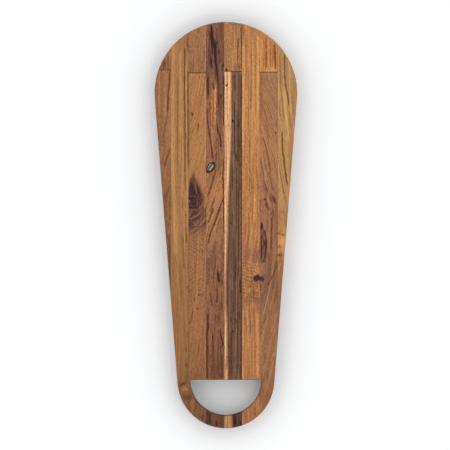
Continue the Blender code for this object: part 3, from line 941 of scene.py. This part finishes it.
            line(1.4, 0xCA8E54, 0.5, 4, 20, 4.5, 70), line(0.7, 0x965C38, 0.7, 5.8, 22, 6, 45, 6, 66),
            line(0.7, 0x985E38, 0.7, 17.8, 30, 18, 50, 18, 66), spot(12, 68.6, 11, 1, 0xD49C68, 0.4),
        ],
    ),
    "stave_7_body": Look(
        zones=[
            (70, 0x9E7250), (110, 0xA47550), (160, 0xAA7952), (215, 0xA67450), (250, 0x9C6C4D),
            (290, 0x98684D), (330, 0x8C6149), (370, 0x7C5642), (405, 0x966A4B), (460, 0x9C6E4C),
            (490, 0x986A48), (520, 0x8E6143), (550, 0x8E6142),
        ],
        dark=0x82583E,
        light=0xB5835C,
        flow=[(0, 0), (75, 0), (110, 16), (240, 52), (300, 54), (345, 50), (500, 14), (570, 2)],
        contrast=0.9, stripe=1.7, mottle=1.1,
        marks=[
            line(2.2, 0x94624C, 0.75, 1, 74, 1.5, 110, 1.5, 140),
            line(0.8, 0x8E6248, 0.6, 0.5, 104, 3, 112, 9, 138, 14, 168),
            line(0.9, 0x8E644A, 0.6, 3.5, 108, 10, 118, 17, 140),
            line(0.9, 0x8A5E44, 0.7, 0.5, 126, 4, 140, 10, 156, 13, 172),
            line(1, 0x805642, 0.75, 2, 158, 6, 168, 10, 182, 13, 200, 15, 216),
            line(0.8, 0x845844, 0.6, 4, 178, 7, 196, 9, 214),
            line(1, 0x805642, 0.7, 0.5, 188, 3, 200, 5, 212, 6.5, 219), spot(23, 143, 1.5, 4, 0x8C6048, 0.6),
            spot(22.5, 155.5, 1, 2, 0x744A3A, 0.8),
            line(1.1, 0x684238, 0.9, 5, 219, 7.5, 228, 10, 236, 11, 242), spot(5, 230, 3.2, 9, 0x8C624E, 0.5),
            line(1, 0x7A5244, 0.75, 11, 205, 14, 217, 16.5, 228, 18, 240),
            spot(16.5, 247, 3, 7.5, 0x785246, 0.8, lean=-15),
            line(1.5, 0x603C34, 0.9, 18, 240, 20, 247, 22, 253, 24, 260),
            spot(6.8, 249, 1.7, 1.6, 0x5A382E, 0.9),
            line(2.2, 0x70483E, 0.85, 7, 248, 9.5, 256, 12, 262, 15.5, 267),
            line(1, 0xA87856, 0.6, 10, 246, 13, 254, 17, 262), spot(2.5, 251, 3, 3, 0x8E624C, 0.5),
            line(0.85, 0x684238, 0.85, 18.5, 262, 14.5, 270, 9, 277, 4, 281.5),
            line(1.1, 0x6C463C, 0.8, 18.5, 260, 18.7, 268, 19, 277),
            line(1.1, 0x66443A, 0.8, 16.8, 270, 16.5, 290, 16, 305, 16.5, 325),
            line(2.4, 0x865C4C, 0.75, 23, 250, 23.5, 285, 23, 320),
            line(1.8, 0x9C6A50, 0.6, 20, 275, 20, 330), spot(9, 272, 5, 9, 0xA27050, 0.5),
            spot(11.5, 303, 2.6, 10, 0xA67050, 0.7),
            line(2.9, 0x7C5648, 0.9, 3, 284, 3.8, 300, 4.8, 318, 4.2, 336),
            line(0.9, 0x543632, 0.7, 3.2, 292, 4, 304, 3.8, 312),
            spot(2.6, 286, 1.9, 5, 0x40262A, 0.95, soft=0.35),
            line(1, 0x462A2C, 0.92, 4.5, 288, 7, 296, 8.7, 305, 8.6, 315, 7.6, 326, 6, 337),
            line(0.9, 0x4A2C2E, 0.85, 1.4, 296, 2.2, 312, 2.4, 322, 1.4, 337),
            line(1.2, 0x40282A, 0.85, 5.5, 304, 6.4, 311, 5.4, 317),
            line(0.9, 0x4C302E, 0.75, 3.6, 312, 3, 317, 4.5, 322), spot(4.5, 335.5, 2.8, 2.2, 0x543430, 0.75),
            line(2.2, 0x7C5648, 0.7, 11, 320, 12.5, 336, 12, 352), spot(4, 346, 4, 8, 0x9C6C52, 0.6),
            line(1, 0x684230, 0.85, 22, 335, 21, 347, 18, 356, 13, 365, 8, 371, 2.5, 376),
            spot(10, 357, 5.5, 3.2, 0x7C564C, 0.75, lean=10),
            spot(1.5, 360.3, 5, 3.4, 0x4A2E30, 1, soft=0.35), spot(3, 358, 1.4, 1, 0x786056, 0.5),
            spot(5, 367, 4, 3, 0x885E4E, 0.6, lean=40), line(2.8, 0x7A5448, 0.7, 5.5, 376, 3, 384, 1.5, 396),
            line(1.2, 0x78503C, 0.6, 22.5, 330, 24, 352), line(2, 0x986949, 0.4, 19, 372, 19, 390, 21, 405),
            line(1, 0x784E38, 0.6, 23.5, 372, 22.5, 388), spot(20.5, 390.5, 0.9, 3, 0x7A5038, 0.6),
            line(1.6, 0x946454, 0.5, 13, 400, 12, 415), line(1.6, 0x926248, 0.6, 1.5, 412, 1.5, 450),
            line(0.9, 0x76503A, 0.6, 8, 412, 6.5, 422),
            line(0.9, 0x845C40, 0.6, 14.5, 425, 12.5, 445, 11, 456), spot(14, 447, 1.2, 1.8, 0xB88260, 0.6),
            line(1, 0x7A543A, 0.75, 8.5, 460, 7.5, 470, 5.5, 485), spot(19.5, 472, 1, 3, 0x7C5238, 0.6),
            spot(13.5, 480, 1.2, 3, 0x7E543A, 0.6, lean=10), spot(11, 494, 1.2, 4, 0x7A4E32, 0.7),
            spot(5, 517, 0.8, 2.2, 0x784C34, 0.6), spot(11, 523, 0.9, 1.5, 0x6A422C, 0.8),
            spot(3, 507, 1.6, 14, 0x865C3C, 0.5), spot(1.5, 531, 1.6, 3, 0x8E6048, 0.5),
        ],
    ),
    "stave_8": Look(
        zones=[
            (32, 0xB08456), (80, 0xB28659), (150, 0xB08357), (220, 0xAC8055), (250, 0xB48657),
            (285, 0xA0724B), (303, 0xBE8756), (322, 0xC28854), (330, 0x9E704E), (380, 0x926648),
        ],
        dark=0x986E46,
        light=0xCAA06A,
        flow=[(0, 0), (80, 0), (160, 8), (280, 24), (330, 26), (380, 16)],
        contrast=0.5, stripe=2.6, mottle=0.7,
        marks=[
            line(0.9, 0x704A32, 0.9, 9.5, 42, 9.8, 60, 10, 80, 12, 92, 14, 102, 15.5, 112, 16.5, 122),
            line(0.9, 0x926640, 0.6, 16.5, 122, 17, 138, 17.5, 150),
            line(0.8, 0x926842, 0.7, 3, 42, 3.5, 60, 4, 90, 5.5, 104),
            line(0.8, 0x8E643E, 0.7, 5.5, 100, 7, 115, 8.5, 130, 9.5, 142),
            line(0.8, 0x926842, 0.6, 2.5, 106, 3, 120, 4, 138),
            line(1.9, 0xCEA468, 0.7, 9, 92, 11, 120, 13, 150, 13.5, 170),
            line(0.9, 0x6C422C, 0.92, 6, 150, 6.5, 165, 7, 177, 8.5, 189, 10, 203, 12, 216, 14, 232),
            line(0.9, 0x9C7248, 0.6, 12, 145, 13, 165),
            line(0.65, 0x845C3A, 0.8, 1.5, 200, 4, 214, 6.5, 228, 9, 240, 11.5, 256),
            line(1.8, 0xC29056, 0.5, 14, 160, 14, 200, 15.5, 225), line(1.3, 0xBA8E5C, 0.5, 2, 150, 2.5, 190),
            line(1.4, 0xA67446, 0.5, 24, 60, 22.5, 100, 20, 150, 18, 190),
            spot(6, 266.5, 3.5, 2, 0x84603E, 0.6), spot(1, 281.5, 1.3, 1.6, 0x6E4A32, 0.8),
            spot(4, 285, 4, 7, 0xB48450, 0.5), line(0.8, 0x865C3A, 0.6, 3.5, 288, 3.2, 297),
            spot(2, 297, 2.6, 1, 0x764A2E, 0.8, lean=-20), spot(7.5, 298.5, 3.4, 1, 0x74482C, 0.85, lean=12),
            spot(2.5, 315, 2.6, 1.3, 0x804E3C, 0.85, lean=-8), spot(4, 309, 1.8, 3, 0xD8A266, 0.5),
            spot(7.5, 306, 1.4, 4, 0xD69854, 0.6), spot(3, 326.5, 3.6, 1.8, 0x7A4A38, 0.85, lean=-10),
            spot(7, 327, 3, 0.9, 0x966244, 0.7), spot(2.5, 344, 1.8, 6, 0xBE8C62, 0.6, lean=12),
            line(0.8, 0x865C3E, 0.7, 6, 332, 4, 345, 1.5, 356),
        ],
    ),
}

EXTRAS = {
    "stave_3_body": stave_3_figure,
    "stave_6_body": stave_6_figure,
    "stave_5_body": sapwood(
        [(11.2, 69), (10.8, 120), (10.8, 155), (9.4, 190), (8.2, 215), (7.2, 250), (6.2, 285), (4.9, 320)]
        + [(3.9, 345), (3.4, 380), (4.2, 405), (5.0, 430), (5.2, 455), (5.5, 480), (6.2, 502)],
        pale=0xE6B682,
        tan=0xC28C60,
        blush=0x8C624E,
        heart=0x462F2A,
    ),
    "stave_5_grip": sapwood(
        [(11.4, 545), (12.4, 570)], pale=0xBE9062, tan=0xA67A50, blush=0x78543E, heart=0x3A262A
    ),
}


# ---------------------------------------------------------------- staves


def piece_range(node):
    """A piece's stave number and the X and Y range of its blank."""
    number = int(node.split("_")[1])
    left = JOINTS[number - 2] + JOINT_GAP / 2 if number > 1 else CAD_LOW.x - OVERSHOOT
    right = JOINTS[number - 1] - JOINT_GAP / 2 if number < len(STAVES) else CAD_HIGH.x + OVERSHOOT
    low, high = CAD_LOW.y - OVERSHOOT, CAD_HIGH.y + OVERSHOOT
    severed = f"stave_{number}_grip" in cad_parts
    if node.endswith("_tip"):
        low = BUTTS[number] + BUTT_GAP / 2
    elif node.endswith("_grip"):
        high = GRIP_Y - OVERSHOOT
    else:
        high = BUTTS[number] - BUTT_GAP / 2 if number in BUTTS else high
        low = GRIP_Y - OVERSHOOT / 2 if severed else low
    return number, left, right, low, high


def meets_opening(left, right):
    return left < OPENING_RADIUS + EDGE_ROUND and right > -OPENING_RADIUS - EDGE_ROUND


def make_stave_piece(node, form, opening, holes):
    number, left, right, low, high = piece_range(node)
    made = blank(node + "_timber", left, right, low, high)
    cut(made, "INTERSECT", form)
    if not node.endswith("_tip") and meets_opening(left, right):
        cut(made, "DIFFERENCE", opening)
    for hole in holes:
        cut(made, "DIFFERENCE", hole)
    finish_piece(made, node, make_timber(node, number, LOOKS[node], EXTRAS.get(node)))


# ---------------------------------------------------------------- knots


class Knot(NamedTuple):
    """A resin-filled hole: its node, the stave it is cut in, and its shape in metres and radians.

    lean is clockwise from the grain, and dish is how far the resin sinks in the middle.
    """

    node: str
    stave: str
    half_length: float
    half_width: float
    lean: float
    depth: float
    dish: float


KNOTS = [
    Knot("knot_fill_large", "stave_4_body", 9.0 * MM, 5.3 * MM, math.radians(36.5), 4 * MM, 0.9 * MM),
    Knot("knot_fill_small", "stave_3_body", 1.9 * MM, 1.3 * MM, math.radians(25), 2 * MM, 0.3 * MM),
]
POINT = 0.28  # how much narrower a knot hole is towards its upper end
WAVER = 0.035  # how uneven its rim is
FILL_CLEARANCE = 0.1 * MM  # between the fill and the floor of its hole
FILL_SINK = 0.12 * MM  # how far the fill stays below the serving face at its rim
RIDGE_PLACE = 0.15  # where the fill's ridge runs, as a share of its half width
RIDGE_TIGHTNESS = 14


def knot_centre(knot):
    """The middle of the hole. The CAD fill is trimmed at its stave's left side, so its right side is used."""
    low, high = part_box(knot.node)
    reach = math.hypot(knot.half_length * math.sin(knot.lean), knot.half_width * math.cos(knot.lean))
    return Vector((high.x - reach, (low.y + high.y) / 2))


def knot_outline(knot, share):
    """The hole's outline, scaled about its middle."""
    centre, turn = knot_centre(knot), Matrix.Rotation(-knot.lean, 2)
    points = []
    for i in range(KNOT_SIDES):
        a = 2 * math.pi * i / KNOT_SIDES
        along = math.sin(a)
        waver = 1 + WAVER * math.sin(3 * a + 1) + WAVER * 0.6 * math.sin(5 * a)
        across = math.cos(a) * (1 - POINT * max(0.0, along) ** 1.5)
        place = Vector((knot.half_width * across, knot.half_length * along)) * waver * share
        points.append(centre + turn @ place)
    return points


def make_hole(knot):
    levels = [(THICKNESS - knot.depth, 0.9), (THICKNESS - 0.6 * MM, 1.0), (THICKNESS + 0.3 * MM, 1.06)]
    return loft(knot.node + "_hole", [at_height(knot_outline(knot, share), z) for z, share in levels])


def resin_surface(knot, share):
    """A loop of the fill's surface: it clings to the rim, dips inside it and has a low ridge."""
    centre, turn = knot_centre(knot), Matrix.Rotation(knot.lean, 2)
    depth = 1 - share**2
    loop = []
    for point in knot_outline(knot, share):
        across, along = [part / knot.half_width for part in turn @ (point - centre)]
        ridge = math.exp(-((across - RIDGE_PLACE) ** 2) * RIDGE_TIGHTNESS) * depth
        dip = depth * (1 + 0.25 * math.sin(2.2 * along))
        height = THICKNESS - FILL_SINK - knot.dish * (dip - 0.75 * ridge)
        loop.append(Vector((point.x, point.y, height)))
    return loop


def make_resin(knot, strip):
    """The fill, trimmed to the strip that its stave takes up."""
    loops = [at_height(knot_outline(knot, 0.88), THICKNESS - knot.depth + FILL_CLEARANCE)]
    for i in range(RESIN_RINGS + 1):
        inward = i / RESIN_RINGS
        loops.append(resin_surface(knot, 0.995 * (1 - inward) + 0.02 * inward))
    made = loft(knot.node + "_resin", loops)
    cut(made, "INTERSECT", strip)
    finish_piece(made, knot.node, make_resin_material(knot))


def make_resin_material(knot):
    """Smoky resin, darker towards its rim, with a pale vein along it that is partly a milky streak in the
    resin and partly a painted highlight, and grey-green on its left side.
    """
    material, g = new_material(knot.node + "_resin")
    centre = knot_centre(knot)
    place = g.node("VectorMath", operation="SUBTRACT")
    g.put(place.inputs[0], g.node("TexCoord").outputs["Object"])
    place.inputs[1].default_value = (centre.x, centre.y, THICKNESS)
    x, y, _ = g.node("SeparateXYZ", place.outputs[0]).outputs
    sine, cosine = math.sin(knot.lean), math.cos(knot.lean)
    across = g.times(g.less(g.times(x, cosine), g.times(y, sine)), 1 / knot.half_width)
    along = g.times(g.add(g.times(x, sine), g.times(y, cosine)), 1 / knot.half_length)
    cloud = g.noise((across, along, 4.0), (0.45, 0.38, 1))
    narrowing = g.ramp(along, 0.0, 1.0, 1.0, 1 / (1 - POINT))
    wide = g.times(across, narrowing)
    away = g.calc("SQRT", g.add(g.times(wide, wide), g.times(along, along)))
    colour = g.mix(0x4E3E3A, 0x70625A, g.ramp(cloud, -0.5, 0.6))
    colour = g.mix(colour, 0x8C8A70, g.times(g.ramp(across, -0.05, -0.65), 0.85))
    # Painted highlight: the pale vein along the ridge stands in for the light's glint on the resin as well as
    # for a milky streak in it.
    off_pale_line = g.calc("ABSOLUTE", g.less(g.less(across, 0.22), g.times(cloud, 0.12)))
    pale_vein_and_highlight = g.times(g.ramp(off_pale_line, 0.20, 0.04), g.ramp(along, 0.60, 0.35), g.ramp(along, -0.60, -0.25))
    colour = g.mix(colour, 0xE4D9C4, g.times(pale_vein_and_highlight, 0.75))
    colour = g.mix(colour, 0x362321, g.ramp(g.add(away, g.times(cloud, 0.06)), 0.60, 0.84))
    g.put(g.shader.inputs["Base Color"], colour)
    g.put(g.shader.inputs["Roughness"], g.ramp(cloud, -1.0, 1.0, 0.05, 0.12))
    return material


# ---------------------------------------------------------------- glue


def top_y(x):
    """The Y of the board's far edge at an X."""
    return BLADE_Y + math.sqrt(BLADE_RADIUS**2 - x * x)


def bottom_y(x):
    """The Y of the board's near edge at an X: on the grip circle, a tangent or the blade circle."""
    if abs(x) <= GRIP_RADIUS * math.cos(TANGENT):
        return GRIP_Y - math.sqrt(GRIP_RADIUS**2 - x * x)
    if abs(x) <= BLADE_RADIUS * math.cos(TANGENT):
        along = (abs(x) - GRIP_RADIUS * math.cos(TANGENT)) / math.sin(TANGENT)
        return GRIP_Y - GRIP_RADIUS * math.sin(TANGENT) + along * math.cos(TANGENT)
    return BLADE_Y - math.sqrt(BLADE_RADIUS**2 - x * x)


def make_glue():
    """Thin sheets of dark glue in every joint, a little below the faces and inside the edges."""
    mesh = bmesh.new()
    inside = EDGE_ROUND + GLUE_DEPTH

    def sheet(left, right, low, high):
        levels = (GLUE_DEPTH, THICKNESS - GLUE_DEPTH)
        skin(mesh, [rectangle(left, right, low, high, z) for z in levels])

    for x in JOINTS:
        half = JOINT_GAP / 2
        low, high = bottom_y(x) + inside, top_y(x) - inside
        if abs(x) < OPENING_RADIUS:
            bow_y = GRIP_Y - math.sqrt(OPENING_RADIUS**2 - x * x)
            sheet(x - half, x + half, low, bow_y - inside)
            low = GRIP_Y + inside
        sheet(x - half, x + half, low, high)
    for number, y in BUTTS.items():
        side = math.sqrt(BLADE_RADIUS**2 - (y - BLADE_Y) ** 2) - inside
        left = max(JOINTS[number - 2] + JOINT_GAP, -side) if number > 1 else -side
        right = min(JOINTS[number - 1] - JOINT_GAP, side)
        sheet(left, right, y - BUTT_GAP / 2, y + BUTT_GAP / 2)
    made = add_object("glue_lines", mesh)
    material, g = new_material("glue")
    place = g.node("SeparateXYZ", g.node("TexCoord").outputs["Object"]).outputs
    cloud = g.noise(place, (1.1 * MM, 3.3 * MM, 1.1 * MM))
    g.put(g.shader.inputs["Base Color"], g.mix(0x462E24, 0x684836, g.ramp(cloud, -0.6, 0.6)))
    g.put(g.shader.inputs["Roughness"], g.ramp(cloud, -1.0, 1.0, 0.35, 0.6))
    made.data.materials.append(material)
    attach(made, "root")


# ---------------------------------------------------------------- studio

VIEW_WIDTH = 0.631  # metres seen across the picture, at the serving face
LENS = 250.0
SENSOR = 36.0
CAMERA_SHIFT = Vector((-0.0012, 0.0002))
FLOOR_HALF = 8.0
FLOOR_Z = -0.05 * MM
FLOOR_SHADES = ((0.95, 0.95, 0.95, 1), (0.96, 0.96, 0.96, 1))
SKY = (0.99, 1.0, 1.01, 1)
WALLS = 1.86  # how bright the white walls round the studio are at the level of the floor
CEILING = 0.12
KEY_PLACE = Vector((0.5, -0.6, 1.4))
KEY_SIZE = 0.22
KEY_WATTS = 1.0


def make_floor():
    mesh = bmesh.new()
    corners = [(-1, -1), (1, -1), (1, 1), (-1, 1)]
    mesh.faces.new([mesh.verts.new((x * FLOOR_HALF, y * FLOOR_HALF, FLOOR_Z)) for x, y in corners])
    floor = add_object("floor", mesh)
    material, g = new_material("studio_floor")
    place = g.node("SeparateXYZ", g.node("TexCoord").outputs["Object"]).outputs
    cloud = g.noise(place, (0.3, 0.3, 0.3))
    g.put(g.shader.inputs["Base Color"], g.mix(*FLOOR_SHADES, g.ramp(cloud, -1.0, 1.0)))
    g.shader.inputs["Roughness"].default_value = 0.9
    g.shader.inputs["Specular IOR Level"].default_value = 0.0
    floor.data.materials.append(material)


def make_lights():
    world = bpy.data.worlds.new("studio")
    world.use_nodes = True
    g = Graph(world.node_tree)
    background = world.node_tree.nodes["Background"]
    background.inputs["Color"].default_value = SKY
    height = g.node("SeparateXYZ", g.node("TexCoord").outputs["Generated"]).outputs[2]
    low_share = g.less(1.0, g.times(height, height))
    g.put(background.inputs["Strength"], g.add(g.times(low_share, WALLS), CEILING))
    bpy.context.scene.world = world

    key = bpy.data.lights.new("key", "AREA")
    key.shape = "DISK"
    key.size = KEY_SIZE
    key.energy = KEY_WATTS
    lamp = bpy.data.objects.new("key", key)
    lamp.location = KEY_PLACE
    lamp.rotation_euler = (-KEY_PLACE).to_track_quat("-Z", "Y").to_euler()
    bpy.context.scene.collection.objects.link(lamp)


def make_camera():
    data = bpy.data.cameras.new("camera")
    data.lens = LENS
    data.sensor_width = SENSOR
    camera = bpy.data.objects.new("camera", data)
    middle = (CAD_LOW + CAD_HIGH) / 2
    distance = VIEW_WIDTH * LENS / SENSOR
    camera.location = (middle.x + CAMERA_SHIFT.x, middle.y + CAMERA_SHIFT.y, THICKNESS + distance)
    bpy.context.scene.collection.objects.link(camera)
    bpy.context.scene.camera = camera


def main():
    bpy.context.scene.view_settings.view_transform = "Standard"
    form = loft("board_form", [at_height(board_outline(inset), z) for inset, z in edge_levels()])
    levels = [(-inset, z) for inset, z in edge_levels()]
    widest = levels[0][0]
    levels = [(widest, -OVERSHOOT), *levels, (widest, THICKNESS + OVERSHOOT)]
    opening = loft("opening_form", [at_height(opening_outline(inset), z) for inset, z in levels])
    holes = {knot.node: make_hole(knot) for knot in KNOTS}

    for node in LOOKS:
        own = [holes[knot.node] for knot in KNOTS if knot.stave == node]
        make_stave_piece(node, form, opening, own)
    strips = []
    for knot in KNOTS:
        _, left, right, low, high = piece_range(knot.stave)
        block = [rectangle(left, right, low, high, z) for z in (0, 2 * THICKNESS)]
        strips.append(loft(knot.node + "_strip", block))
        make_resin(knot, strips[-1])
    make_glue()
    for helper in [form, opening, *holes.values(), *strips]:
        bpy.data.objects.remove(helper)

    make_floor()
    make_lights()
    make_camera()


main()
